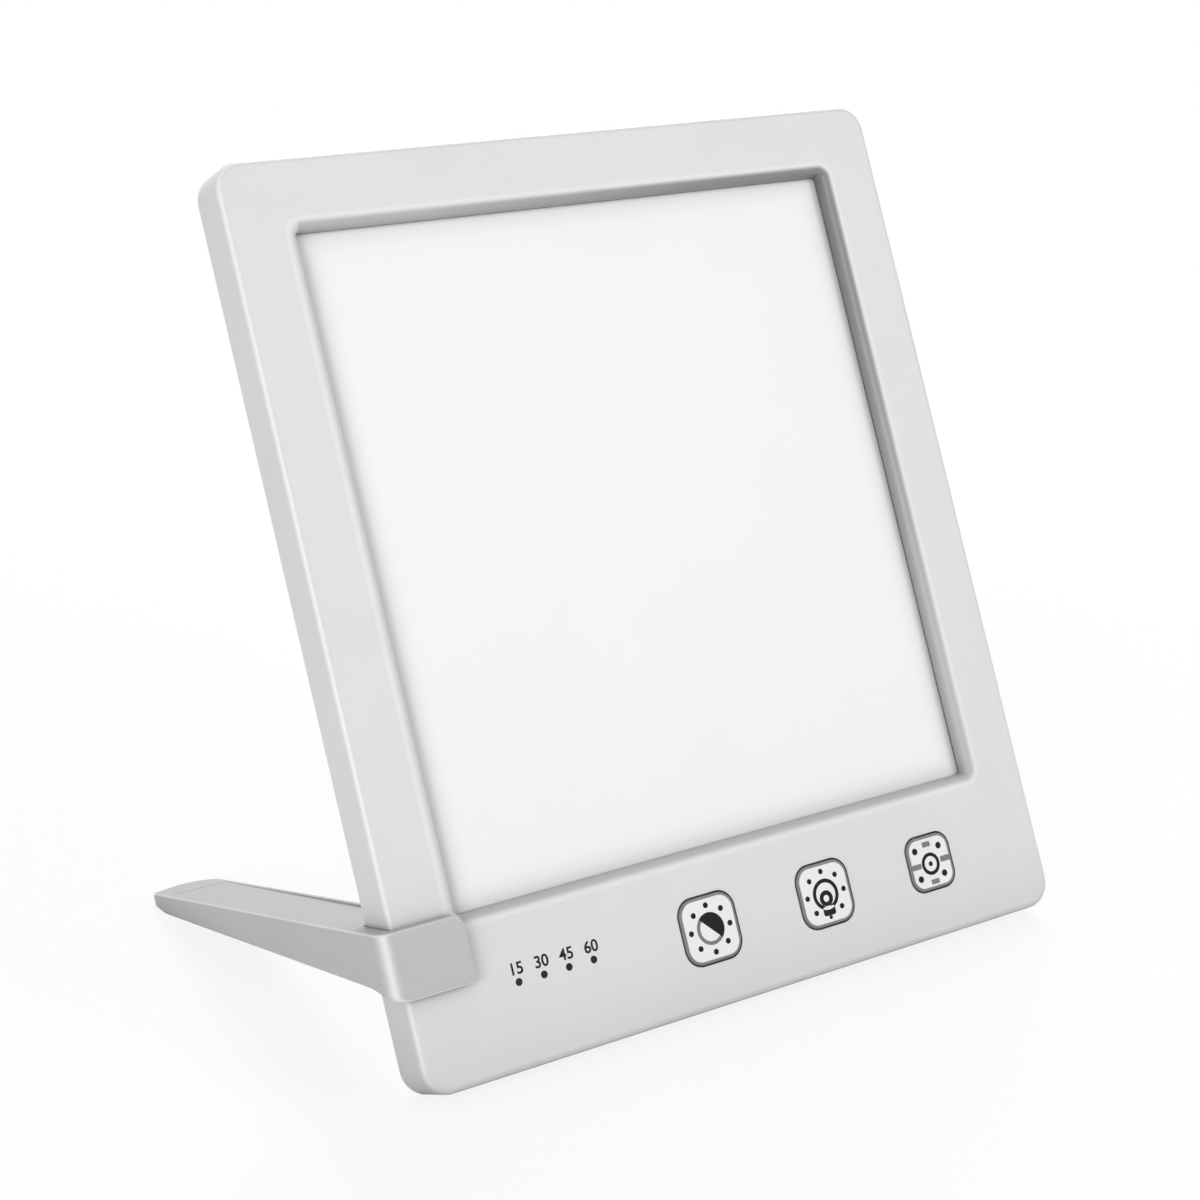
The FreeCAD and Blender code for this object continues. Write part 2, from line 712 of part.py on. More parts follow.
def jack_pin():
    """Centre contact, standing on the floor of the socket's bore."""
    floor = PANEL_WIDTH - SIDE_WALL - JACK_BORE_DEPTH
    pin = socket_rod(JACK_PIN_RADIUS, floor, floor + JACK_PIN_LENGTH)
    tip = [e for e in pin.Edges if e.BoundBox.XMin > floor + JACK_PIN_LENGTH - TOLERANCE]
    return pin.makeFillet(JACK_PIN_TIP_RADIUS, tip)


# Foot


def arm_rise():
    """Slope of the arm's top face, from the pad's top to the tip's thickness above the table."""
    tip = table_height(-ARM_REACH, TIP_PAD_PROUD) + ARM_TIP_THICKNESS
    return (tip - PAD_TOP) / (FOOT_FRONT + ARM_REACH)


def arm_top(z):
    """Height of the arm's top face at depth z."""
    return PAD_TOP + arm_rise() * (FOOT_FRONT - z)


def underside_line():
    """Start, end and direction of the arm's straight underside, as depth and height."""
    flat_end = -ARM_REACH + TIP_FLAT
    start = (-ARM_ROOT_DEPTH, ARM_ROOT_BOTTOM)
    end = (flat_end, table_height(flat_end, TIP_PAD_PROUD))
    length = math.hypot(end[0] - start[0], end[1] - start[1])
    return start, end, ((end[0] - start[0]) / length, (end[1] - start[1]) / length)


def foot_profile():
    """The foot seen from the side, as a face: front pad, arm that rises and thins towards the tip."""
    start, end, along = underside_line()
    normal = (-along[1], along[0])
    toe = (FOOT_FRONT - start[0], PAD_BOTTOM - start[1])
    radius = (toe[0] ** 2 + toe[1] ** 2) / (2 * (toe[0] * normal[0] + toe[1] * normal[1]))
    centre = (start[0] + normal[0] * radius, start[1] + normal[1] * radius)
    middle = ((FOOT_FRONT + start[0]) / 2 - centre[0], (PAD_BOTTOM + start[1]) / 2 - centre[1])
    reach = abs(radius) / math.hypot(*middle)

    def at(place):
        return Vector(0, place[1], place[0])

    points = [
        start,
        end,
        (-ARM_REACH, table_height(-ARM_REACH, TIP_PAD_PROUD)),
        (-ARM_REACH, arm_top(-ARM_REACH)),
        (FOOT_FRONT, PAD_TOP),
        (FOOT_FRONT, PAD_BOTTOM),
    ]
    edges = [Part.LineSegment(at(p), at(q)).toShape() for p, q in zip(points, points[1:])]
    sweep = (centre[0] + middle[0] * reach, centre[1] + middle[1] * reach)
    edges.append(Part.Arc(at(points[-1]), at(sweep), at(start)).toShape())
    return Part.Face(Part.Wire(edges))


def foot_plan(height):
    """The foot seen from above, as a block: rounded front corner, straight arm, rounded end."""
    step = CASE_BACK / 2
    near = -ARM_REACH + ARM_NOSE
    points = [
        Vector(PAD_WIDTH, 0, FOOT_FRONT),
        Vector(FOOT_LEFT, 0, FOOT_FRONT),
        Vector(FOOT_LEFT, 0, near),
        Vector(ARM_RIGHT, 0, -ARM_REACH),
        Vector(ARM_RIGHT, 0, step),
        Vector(PAD_WIDTH, 0, step),
    ]
    plan = prism(points, Vector(0, height, 0))
    for radius, corner in zip((FOOT_CORNER_RADIUS, TIP_RADIUS, ARM_END_RADIUS), points[1:4]):
        plan = plan.makeFillet(radius, upright_at(plan, corner))
    return plan


def upright_at(body, corner):
    """The edge that stands along y at a corner."""
    found = []
    for e in body.Edges:
        box = e.BoundBox
        thin = max(box.XLength, box.ZLength) < TOLERANCE
        if thin and max(abs(box.XMin - corner.x), abs(box.ZMin - corner.z)) < TOLERANCE:
            found.append(e)
    return found


def foot_blank():
    """Side profile and plan outline crossed."""
    width = PAD_WIDTH - FOOT_LEFT + 2 * CUT_PAST
    side = foot_profile().extrude(Vector(width, 0, 0))
    side.translate(Vector(FOOT_LEFT - CUT_PAST, 0, 0))
    return side.common(foot_plan(arm_top(-ARM_REACH) + CUT_PAST))


def clip_slot():
    """The space that the panel's edge sits in."""
    right = PAD_WIDTH + CUT_PAST
    return block(-JAW_GAP, PAD_BOTTOM - CUT_PAST, right, arm_top(ARM_START) + CUT_PAST, ARM_START, JAW_GAP)


def underside_frame(shape):
    """Moves a piece drawn with its base on z=0 and its length along x onto the arm's underside."""
    start, _, along = underside_line()
    x_axis = Vector(0, along[1], along[0])
    z_axis = Vector(0, -along[0], along[1])
    rotation = FreeCAD.Rotation(x_axis, z_axis.cross(x_axis), z_axis, "XYZ")
    root = FreeCAD.Placement(Vector(0, start[1], start[0]), rotation)
    moved = shape.copy()
    moved.Placement = root.multiply(moved.Placement)
    return moved


def under_x(x):
    """Sideways place in the underside's frame of a panel x."""
    return -x


def arm_depth(s):
    """Height of the arm above its underside, s along the underside from the root."""
    start, _, along = underside_line()
    rise = math.atan(arm_rise())
    spread = math.atan2(along[1], -along[0]) - rise
    root = (arm_top(start[0]) - start[1]) * math.cos(rise)
    return (root - s * math.sin(spread)) / math.cos(spread)


def arm_sides(margin):
    """Low and high sideways limits inside the arm, in the underside's frame."""
    low = under_x(ARM_RIGHT - margin)
    high = under_x(FOOT_LEFT + margin)
    return low, high


def foot_screw_places():
    """Two screws on the arm's centre line, one near each end of the cover."""
    middle = under_x((FOOT_LEFT + ARM_RIGHT) / 2)
    return [(FOOT_COVER_START + FOOT_SCREW_INSET, middle), (FOOT_COVER_END - FOOT_SCREW_INSET, middle)]


def foot_core():
    """Hollow inside the arm, above the cover, with its two screw bosses left standing."""
    low, high = arm_sides(ARM_WALL + FOOT_CORE_MARGIN)
    start = FOOT_COVER_START + FOOT_CORE_MARGIN
    end = FOOT_COVER_END - FOOT_CORE_MARGIN
    roof = ARM_WALL + TOP_GROOVE_DEPTH
    points = [
        Vector(start, low, FOOT_COVER_THICKNESS - TOOL_OVERLAP),
        Vector(end, low, FOOT_COVER_THICKNESS - TOOL_OVERLAP),
        Vector(end, low, arm_depth(end) - roof),
        Vector(start, low, arm_depth(start) - roof),
    ]
    core = prism(points, Vector(0, high - low, 0))
    top = arm_depth(0)
    bosses = [rod(s, m, FOOT_COVER_THICKNESS, top, FOOT_BOSS_RADIUS) for s, m in foot_screw_places()]
    return without(core, bosses)


def foot_cover_plate(gap):
    """The cover's outline in the underside's frame, smaller by a gap all round."""
    low, high = arm_sides(ARM_WALL + gap)
    start = FOOT_COVER_START + gap
    end = FOOT_COVER_END - gap
    return slab(start, low, end, high, 0, FOOT_COVER_THICKNESS, FOOT_COVER_CORNER_RADIUS - gap)


def foot_cover():
    """Plate that closes the arm from below."""
    holes = []
    for s, m in foot_screw_places():
        holes.append(rod(s, m, -CUT_PAST, FOOT_HEAD_HEIGHT, FOOT_HEAD_RADIUS + FIT_GAP))
        holes.append(rod(s, m, 0, FOOT_COVER_THICKNESS + CUT_PAST, FOOT_SCREW_RADIUS + 2 * SCREW_PLAY))
    return underside_frame(without(foot_cover_plate(FIT_GAP), holes))


def foot_screws():
    """Two small screws that hold the arm's cover."""
    screws = []
    for s, m in foot_screw_places():
        piece = screw(FOOT_SCREW_RADIUS, FOOT_SCREW_LENGTH, FOOT_HEAD_RADIUS, FOOT_HEAD_HEIGHT)
        piece.rotate(Vector(0, 0, 0), Vector(1, 0, 0), 180)
        piece.translate(Vector(s, m, FOOT_HEAD_HEIGHT))
        screws.append(underside_frame(piece))
    return Part.makeCompound(screws)


def top_groove():
    """Sunk field along the arm's top face, deepest next to the panel, that runs out towards the tip."""
    low, high = arm_sides(TOP_GROOVE_MARGIN)
    start = ARM_START - TOP_GROOVE_START
    end = -ARM_REACH + ARM_END_RADIUS + TOP_GROOVE_END
    floor_start = arm_top(start) - TOP_GROOVE_DEPTH
    floor_end = arm_top(end) - TOP_GROOVE_END_DEPTH
    angle = math.atan2(floor_end - floor_start, start - end)
    length = math.hypot(floor_end - floor_start, start - end)
    field = slab(0, low, length, high, 0, TOP_GROOVE_DEPTH + CUT_PAST, TOP_GROOVE_CORNER_RADIUS)
    x_axis = Vector(0, math.sin(angle), -math.cos(angle))
    z_axis = Vector(0, math.cos(angle), math.sin(angle))
    rotation = FreeCAD.Rotation(x_axis, z_axis.cross(x_axis), z_axis, "XYZ")
    field.Placement = FreeCAD.Placement(Vector(0, floor_start, start), rotation).multiply(field.Placement)
    return field


def tip_pad_box(grow, low, high):
    """The tip pad's outline on the table, in the standing frame."""
    z = -ARM_REACH + TIP_FLAT / 2
    y = table_height(z)
    depth = y * math.sin(LEAN) - z * math.cos(LEAN) - EDGE_DEPTH
    x = (FOOT_LEFT + ARM_RIGHT) / 2 - PANEL_WIDTH / 2
    half_l = TIP_PAD_LENGTH / 2 + grow
    half_w = TIP_PAD_WIDTH / 2 + grow
    radius = TIP_PAD_CORNER_RADIUS + grow
    return slab(x - half_l, depth - half_w, x + half_l, depth + half_w, low, high, radius)


def tip_pad():
    """Rubber pad under the arm's tip, in the standing frame."""
    return tip_pad_box(0, 0, TIP_PAD_THICKNESS)


def pad_corner(body, side):
    """The pad's upper (side 1) or lower (side -1) edge at its free end."""
    corner = []
    for e in body.Edges:
        box = e.BoundBox
        at_end = box.XMin > PAD_WIDTH - TOLERANCE and box.ZMax > JAW_GAP and box.ZLength > PAD_THICKNESS
        upper = box.YMin > PAD_TOP - TOLERANCE
        lower = box.YMin < PAD_BOTTOM + TOLERANCE
        if at_end and (upper if side > 0 else lower):
            corner.append(e)
    return corner


def long_face(body, side):
    """The arm's flat top face (side 1) or flat underside (side -1)."""
    faces = [f for f in body.Faces if runs_along(f.normalAt(0, 0), Vector(0, side, 0))]
    return max(faces, key=lambda f: f.BoundBox.ZLength)


def foot_rims(body):
    """Edges to round: round the pad's front, round the top face and along the underside."""
    step = CASE_BACK / 2
    rims = [e for e in body.Edges if e.BoundBox.ZMin > FOOT_FRONT - TOLERANCE]
    for e in long_face(body, 1).Edges:
        box = e.BoundBox
        at_step = max(abs(box.ZMin - step), abs(box.ZMax - step)) < TOLERANCE
        at_front = box.ZMax > FOOT_FRONT - TOLERANCE and box.XMin > 0
        if not at_step and not at_front:
            rims.append(e)
    for e in long_face(body, -1).Edges:
        if e.BoundBox.ZLength > ARM_REACH / 2:
            rims.append(e)
    return rims


def clip_foot():
    """The whole foot moulding, in the standing frame."""
    body = foot_blank()
    body = body.makeFillet(PAD_CORNER_RADIUS, pad_corner(body, 1))
    body = body.makeFillet(PAD_LOW_CORNER_RADIUS, pad_corner(body, -1))
    body = body.makeFillet(FOOT_EDGE_RADIUS, foot_rims(body))
    hollows = [underside_frame(foot_core()), underside_frame(foot_cover_plate(0))]
    body = without(body, [clip_slot(), top_groove()] + hollows)
    pilot_end = FOOT_HEAD_HEIGHT + FOOT_SCREW_LENGTH + PILOT_SPARE
    pilot = FOOT_SCREW_RADIUS + SCREW_PLAY
    pilots = [underside_frame(rod(s, m, 0, pilot_end, pilot)) for s, m in foot_screw_places()]
    body = stand_up(without(body, pilots))
    return body.cut(tip_pad_box(FIT_GAP, -CUT_PAST, TIP_PAD_THICKNESS))


def export(name, shape):
    """Writes one node, after checking that it is made of sound solids."""
    if not shape.isValid() or not shape.Solids:
        raise ValueError(name + " is not a sound solid")
    shape.exportStep("parts/" + name + ".step")
    print("%-24s %3d solid(s) %10.1f mm3" % (name, len(shape.Solids), shape.Volume))


def build():
    """Makes every node and writes it."""
    os.makedirs("parts", exist_ok=True)
    panel = {
        "front_case": front_case(),
        "rear_cover": rear_cover(),
        "case_screws": case_screws(),
        "window_gasket": window_gasket(),
        "diffuser_plate": diffuser_plate(),
        "prism_film": prism_film(),
        "light_guide": light_guide(),
        "reflector_sheet": reflector_sheet(),
        "back_tray": back_tray(),
        "led_strip_left": led_strip(),
        "led_strip_right": mirrored(led_strip()),
        "led_chips_left": led_chips(),
        "led_chips_right": mirrored(led_chips()),
        "control_board": control_board(),
        "board_screws": board_screws(),
        "strip_connector_left": strip_connector(),
        "strip_connector_right": mirrored(strip_connector()),
        "driver_chip": driver_chip(),
        "driver_coil": driver_coil(),
        "filter_capacitor": filter_capacitor(),
        "power_jack": power_jack(),
        "jack_pin": jack_pin(),
        "timer_chips": timer_chips(),
        "foot_cover": foot_cover(),
        "foot_cover_screws": foot_screws(),
    }
    for label, place in zip(TIMER_NAMES, timer_places()):
        panel["timer_light_" + label] = timer_lens(place)
    for name in KEY_CENTRES:
        panel[name + "_key"] = key_cap(name)
        panel[name + "_switch_plunger"] = switch_plunger(name)
        panel[name + "_switch"] = switch_base(name)
    for name, shape in panel.items():
        export(name, stand_up(shape))
    export("clip_foot", clip_foot())
    export("tip_pad", tip_pad())


build()
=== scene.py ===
import json
import math

import bpy
from mathutils import Matrix, Vector


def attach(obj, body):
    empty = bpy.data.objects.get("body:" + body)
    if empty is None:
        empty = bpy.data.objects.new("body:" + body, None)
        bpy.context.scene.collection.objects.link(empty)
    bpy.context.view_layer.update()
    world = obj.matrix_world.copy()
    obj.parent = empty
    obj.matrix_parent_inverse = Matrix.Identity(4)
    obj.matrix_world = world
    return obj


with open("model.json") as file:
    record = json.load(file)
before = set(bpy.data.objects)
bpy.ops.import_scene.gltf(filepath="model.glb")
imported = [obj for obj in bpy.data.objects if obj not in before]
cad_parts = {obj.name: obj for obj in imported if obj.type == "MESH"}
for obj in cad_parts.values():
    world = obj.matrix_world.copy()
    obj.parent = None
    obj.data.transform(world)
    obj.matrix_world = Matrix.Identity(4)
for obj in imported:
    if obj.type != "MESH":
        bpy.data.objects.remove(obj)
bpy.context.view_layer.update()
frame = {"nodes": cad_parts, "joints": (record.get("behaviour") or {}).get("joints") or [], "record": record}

MM = 0.001

# Camera, in metres and degrees
CAMERA_PLACE = (-0.2929, -0.3867, 0.2474)
CAMERA_FORWARD = (0.52625, 0.79167, -0.31035)
CAMERA_ROLL = -0.21
CAMERA_LENS = 74.62
CAMERA_SENSOR = 36.0

# Slope of the foot's arm, as rise over length
ARM_SLOPE = 0.27

# The window in the front case, in millimetres from the case's outline
WINDOW_SIDE = 15.3
WINDOW_TOP = 15.5
WINDOW_BOTTOM = 33.6
WINDOW_CORNER = 1.0
WINDOW_RIM = 2.0

# Painted light and dark on the case and the diffuser, as shares of their colours
EDGE_LIGHT = 1.15
RIM_LIGHT = 1.07
WALL_SHADE = 0.7
WALL_CORNER_SHADE = 0.5
DIFFUSER_EDGE_SHADE = 0.82
DIFFUSER_LEFT_SHADE = 0.8
FOOT_EDGE_LIGHT = 1.5
KEY_BORDER_SHADE = 0.22

# Where that paint starts and ends, in millimetres
OUTLINE_END = (-0.6, -0.3)
RIM_START = (-1.3, -0.6)
RIM_END = (-0.3, 0.2)
WALL_START = (-0.4, 0.8)
WALL_LEFT_CLEAR = 1.0
WALL_CORNER = (190.0, 320.0)
DIFFUSER_EDGE = (-1.5, 8.5)
DIFFUSER_LEFT = (1.0, 3.6)
KEY_BORDER_EDGE = (-0.1, 0.15)

# How far from flat a surface counts as a rounded edge
CASE_ROUNDING = 0.26
FOOT_ROUNDING = 0.28

# Painted shade in creases, where other surfaces lie close, each with its reach in millimetres and its share
CASE_CREVICE_SHADES = ((25.0, 0.5), (1.2, 0.4))
FOOT_CREVICE_SHADE = (12.0, 0.6)

# The keys' hidden flanges, corners as a share of the cap's side, and grey border of print and painted shade,
# in millimetres
KEY_FLANGE = 1.45
KEY_CORNER_SHARE = 0.265
KEY_BORDER = 0.65

# Printed signs, in millimetres on the panel
INK_THICKNESS = 0.03
INK_SUNK = 0.01
LABEL_HEIGHT = 2.4
LABEL_BOLD = 0.06
LABEL_RISE = 1.4
DOT_STEPS = 24
RING_STEPS = 72

# Floor, in metres, with the share of plain white that the camera sees near the object
FLOOR_SIZE = 16.0
FLOOR_NEAR = 0.2
FLOOR_FAR = 0.55
FLOOR_WHITE = 0.85
FLOOR_SEEN = 0.95
FLOOR_BOUNCE = 0.75

# Lights, each with its place and side in metres and its power in watts
WORLD_LIGHT = 0.40
LIGHTS = {
    "left_light": ((-0.95, -0.55, 0.42), 0.5, 5.0),
    "right_light": ((0.65, -0.85, 0.70), 0.6, 4.2),
    "back_light": ((0.50, 0.70, 0.80), 0.6, 7.0),
}
LIGHT_TARGET = (0.0, 0.02, 0.09)


# The panel's own directions, from the way its keys are pressed


def joint(name):
    """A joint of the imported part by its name."""
    return next(j for j in frame["joints"] if j["name"] == name)


OUT = -Vector(joint("brightness_press")["axis"]).normalized()
RIGHT = Vector((1, 0, 0))
UP = OUT.cross(RIGHT)


def span(node, direction):
    """Lowest and highest reach of a CAD node along a direction."""
    reach = [v.co.dot(direction) for v in frame["nodes"][node].data.vertices]
    return min(reach), max(reach)


def middle(node, direction):
    """Middle of a CAD node along a direction."""
    return sum(span(node, direction)) / 2


def on_panel(x, y, z):
    """Matrix that carries a shape drawn in millimetres to a place on the panel."""
    place = RIGHT * x + UP * y + OUT * z
    turn = Matrix((RIGHT, UP, OUT)).transposed().to_4x4()
    return Matrix.Translation(place) @ turn @ Matrix.Scale(MM, 4)


# Materials


class Shader:
    """A node material that is built up step by step on one Principled BSDF."""

    def __init__(self, name, colour, roughness, **sockets):
        self.material = bpy.data.materials.new(name)
        self.material.use_nodes = True
        self.nodes = self.material.node_tree.nodes
        self.links = self.material.node_tree.links
        self.surface = self.nodes["Principled BSDF"]
        self.colour = colour
        self.surface.inputs["Base Color"].default_value = (*colour, 1)
        self.surface.inputs["Roughness"].default_value = roughness
        for socket, value in sockets.items():
            self.surface.inputs[socket.replace("_", " ")].default_value = value
        self.place = self.add("ShaderNodeTexCoord").outputs["Object"]
        self.material.diffuse_color = (*colour, 1)

    def add(self, kind, **settings):
        """A new node with its settings."""
        node = self.nodes.new(kind)
        for key, value in settings.items():
            setattr(node, key, value)
        return node

    def noise(self, size, detail=2.0, roughness=0.5, stretch=None):
        """Noise whose grains are about one size, in millimetres."""
        node = self.add("ShaderNodeTexNoise")
        node.inputs["Scale"].default_value = 1 / (size * MM)
        node.inputs["Detail"].default_value = detail
        node.inputs["Roughness"].default_value = roughness
        source = self.place
        if stretch:
            mapping = self.add("ShaderNodeMapping")
            mapping.inputs["Scale"].default_value = stretch
            self.links.new(source, mapping.inputs["Vector"])
            source = mapping.outputs["Vector"]
        self.links.new(source, node.inputs["Vector"])
        return node.outputs["Fac"]

    def remap(self, value, low, high, from_low=0.3, from_high=0.7):
        """A value carried to another range."""
        node = self.add("ShaderNodeMapRange")
        node.inputs["From Min"].default_value = from_low
        node.inputs["From Max"].default_value = from_high
        node.inputs["To Min"].default_value = low
        node.inputs["To Max"].default_value = high
        self.links.new(value, node.inputs["Value"])
        return node.outputs["Result"]

    def tint(self, value, low, high):
        """Colour that runs between two shares of the base colour."""
        node = self.add("ShaderNodeMix", data_type="RGBA")
        for socket, share in (("A", low), ("B", high)):
            place = next(i for i in node.inputs if i.name == socket and i.type == "RGBA")
            place.default_value = (*(min(1.0, c * share) for c in self.colour), 1)
        factor = next(i for i in node.inputs if i.name == "Factor" and i.type == "VALUE")
        self.links.new(value, factor)
        result = next(o for o in node.outputs if o.type == "RGBA")
        self.links.new(result, self.surface.inputs["Base Color"])
        return result

    def maths(self, operation, first, second=0.0):
        """Arithmetic on two values, each a socket or a number."""
        node = self.add("ShaderNodeMath", operation=operation)
        for socket, value in zip(node.inputs, (first, second)):
            if isinstance(value, (int, float)):
                socket.default_value = value
            else:
                self.links.new(value, socket)
        return node.outputs[0]

    def along(self, direction, start=0.0):
        """Millimetres along a direction from a start in metres."""
        node = self.add("ShaderNodeVectorMath", operation="DOT_PRODUCT")
        node.inputs[1].default_value = direction
        self.links.new(self.place, node.inputs[0])
        return self.maths("MULTIPLY", self.maths("SUBTRACT", node.outputs["Value"], start), 1 / MM)

    def ease(self, value, start, end):
        """Nought before the start, one after the end, smooth between them."""
        node = self.add("ShaderNodeMapRange", interpolation_type="SMOOTHSTEP")
        node.inputs["From Min"].default_value = start
        node.inputs["From Max"].default_value = end
        self.links.new(value, node.inputs["Value"])
        return node.outputs["Result"]

    def shade(self, mask, share):
        """Colour multiplied by a share where the mask is one."""
        node = self.add("ShaderNodeMix", data_type="RGBA", blend_type="MULTIPLY")
        inputs = {i.name: i for i in node.inputs if i.type == "RGBA"}
        factor = next(i for i in node.inputs if i.name == "Factor" and i.type == "VALUE")
        base = self.surface.inputs["Base Color"]
        self.links.new(base.links[0].from_socket, inputs["A"])
        inputs["B"].default_value = (share, share, share, 1)
        self.links.new(mask, factor)
        self.links.new(next(o for o in node.outputs if o.type == "RGBA"), base)

    def toward(self, direction):
        """How far the surface faces a direction or its opposite, from nought to one."""
        node = self.add("ShaderNodeVectorMath", operation="DOT_PRODUCT")
        node.inputs[1].default_value = direction
        self.links.new(self.add("ShaderNodeNewGeometry").outputs["Normal"], node.inputs[0])
        return self.maths("ABSOLUTE", node.outputs["Value"])

    def rounding(self, faces, start, end):
        """One on rounded edges, nought on faces that look along one of the directions."""
        flat = self.toward(faces[0])
        for face in faces[1:]:
            flat = self.maths("MAXIMUM", flat, self.toward(face))
        return self.ease(self.maths("SUBTRACT", 1.0, flat), start, end)

    def crevice_shade(self, reach, share):
        """Colour multiplied by a share where other surfaces lie close, within a reach in millimetres:
        painted shade in creases.
        """
        node = self.add("ShaderNodeAmbientOcclusion", samples=6)
        node.inputs["Distance"].default_value = reach * MM
        self.shade(self.maths("SUBTRACT", 1.0, node.outputs["AO"]), share)

    def rough(self, value, low, high):
        """Roughness that varies with a value."""
        self.links.new(self.remap(value, low, high), self.surface.inputs["Roughness"])

    def bump(self, value, depth, strength=1.0):
        """Relief whose depth is given in millimetres."""
        node = self.add("ShaderNodeBump")
        node.inputs["Distance"].default_value = depth * MM
        node.inputs["Strength"].default_value = strength
        self.links.new(value, node.inputs["Height"])
        before = self.surface.inputs["Normal"].links
        if before:
            self.links.new(before[0].from_socket, node.inputs["Normal"])
        self.links.new(node.outputs["Normal"], self.surface.inputs["Normal"])


def moulded(name, colour, roughness=0.5, grain=0.16, depth=0.012, mottle=0.02, **sockets):
    """Moulded plastic: fine spark-eroded grain, slight flow marks and uneven sheen."""
    shader = Shader(name, colour, roughness, **sockets)
    flow = shader.noise(18.0, 3.0)
    shader.tint(shader.remap(flow, 0, 1), 1 - mottle, 1 + mottle / 2)
    fine = shader.noise(grain, 3.0, 0.6)
    shader.rough(fine, roughness - 0.06, roughness + 0.08)
    shader.bump(shader.noise(9.0, 2.0), 0.03)
    shader.bump(fine, depth)
    return shader


def metal(name, colour, roughness, grain=0.12, stretch=None):
    """Plain metal with fine marks."""
    shader = Shader(name, colour, roughness, Metallic=1.0)
    marks = shader.noise(grain, 4.0, 0.6, stretch)
    shader.tint(shader.remap(marks, 0, 1), 0.86, 1.05)
    shader.rough(marks, roughness - 0.08, roughness + 0.12)
    shader.bump(marks, 0.008)
    return shader


def resin(name, colour, roughness=0.15, **sockets):
    """Cast resin or polished plastic: glossy with faint waves."""
    shader = Shader(name, colour, roughness, **sockets)
    waves = shader.noise(1.2, 2.0)
    shader.tint(shader.remap(waves, 0, 1), 0.92, 1.06)
    shader.rough(waves, roughness - 0.03, roughness + 0.08)
    shader.bump(waves, 0.01)
    return shader


def inset(shader, left, right, low, high, corner):
    """Millimetres inwards from a rounded outline on the panel, less than nought outside it."""
    past = []
    for direction, start, end in ((RIGHT, left, right), (UP, low, high)):
        off = shader.maths("ABSOLUTE", shader.along(direction, (start + end) / 2))
        past.append(shader.maths("SUBTRACT", off, (end - start) / 2 / MM - corner))
    squares = []
    for value in past:
        beyond = shader.maths("MAXIMUM", value, 0.0)
        squares.append(shader.maths("MULTIPLY", beyond, beyond))
    round_part = shader.maths("SQRT", shader.maths("ADD", squares[0], squares[1]))
    straight_part = shader.maths("MINIMUM", shader.maths("MAXIMUM", past[0], past[1]), 0.0)
    return shader.maths("SUBTRACT", corner, shader.maths("ADD", round_part, straight_part))


def window_inset(shader):
    """Millimetres inwards from the window's outline."""
    left, right = span("front_case", RIGHT)
    low, high = span("front_case", UP)
    left, right = left + WINDOW_SIDE * MM, right - WINDOW_SIDE * MM
    low, high = low + WINDOW_BOTTOM * MM, high - WINDOW_TOP * MM
    return inset(shader, left, right, low, high, WINDOW_CORNER)


def opal(name, colour):
    """Opal diffuser plate with painted shade next to the window's edge, strongest in a painted shadow along
    the left.
    """
    shader = Shader(name, colour, 0.42)
    shader.tint(shader.remap(shader.noise(30.0, 2.0), 0, 1), 0.985, 1.0)
    # Painted shade on the diffuser next to the window's edge.
    near = shader.maths("SUBTRACT", 1.0, shader.ease(window_inset(shader), *DIFFUSER_EDGE))
    shader.shade(shader.maths("MULTIPLY", near, near), DIFFUSER_EDGE_SHADE)
    # Painted shadow of the left wall, a strip along the diffuser's left edge.
    from_left = shader.along(RIGHT, span("front_case", RIGHT)[0])
    start, end = (WINDOW_SIDE + reach for reach in DIFFUSER_LEFT)
    shader.shade(shader.maths("SUBTRACT", 1.0, shader.ease(from_left, start, end)), DIFFUSER_LEFT_SHADE)
    shader.bump(shader.noise(0.2, 2.0), 0.006)
    return shader


def front_case(name, colour):
    """Moulded case with painted highlights on its edges and window rim, painted shade on the window wall
    that deepens from the left to the upper right, and painted shade in creases.
    """
    shader = moulded(name, colour, 0.36)
    left = span("front_case", RIGHT)[0]
    low = span("front_case", UP)[0]
    inward = window_inset(shader)
    from_left = shader.along(RIGHT, left)
    past_rim = shader.maths("ADD", inward, WINDOW_RIM)
    # Painted highlight on the case's rounded outer edges, kept off the window's rim.
    flat = shader.maths("SUBTRACT", 1.0, shader.ease(past_rim, *OUTLINE_END))
    outline = shader.maths("MULTIPLY", flat, shader.rounding((OUT, RIGHT, UP), 0.0, CASE_ROUNDING))
    shader.shade(outline, EDGE_LIGHT)
    # Painted highlight on a narrow band round the window's rim.
    rim_start = shader.ease(past_rim, *RIM_START)
    rim_end = shader.ease(past_rim, *RIM_END)
    shader.shade(shader.maths("MULTIPLY", rim_start, shader.maths("SUBTRACT", 1.0, rim_end)), RIM_LIGHT)
    # Painted shade on the window wall, left off its left side.
    past_left = shader.ease(from_left, WINDOW_SIDE, WINDOW_SIDE + WALL_LEFT_CLEAR)
    wall = shader.maths("MULTIPLY", shader.ease(past_rim, *WALL_START), past_left)
    shader.shade(wall, WALL_SHADE)
    # Deeper painted shade on the wall towards the upper right.
    across = shader.maths("ADD", shader.along(RIGHT, left), shader.along(UP, low))
    shader.shade(shader.maths("MULTIPLY", wall, shader.ease(across, *WALL_CORNER)), WALL_CORNER_SHADE)
    # Painted shade in the case's creases.
    for reach, share in CASE_CREVICE_SHADES:
        shader.crevice_shade(reach, share)
    return shader


def foot(name, colour):
    """Moulded foot with painted highlights on its rounded edges and painted shade in its creases."""
    shader = moulded(name, colour, 0.33, 0.14)
    arm_top = Vector((0, ARM_SLOPE, 1)).normalized()
    # Painted highlight on the foot's rounded edges.
    shader.shade(shader.rounding((OUT, RIGHT, arm_top), 0.0, FOOT_ROUNDING), FOOT_EDGE_LIGHT)
    # Painted shade in the foot's creases.
    shader.crevice_shade(*FOOT_CREVICE_SHADE)
    return shader


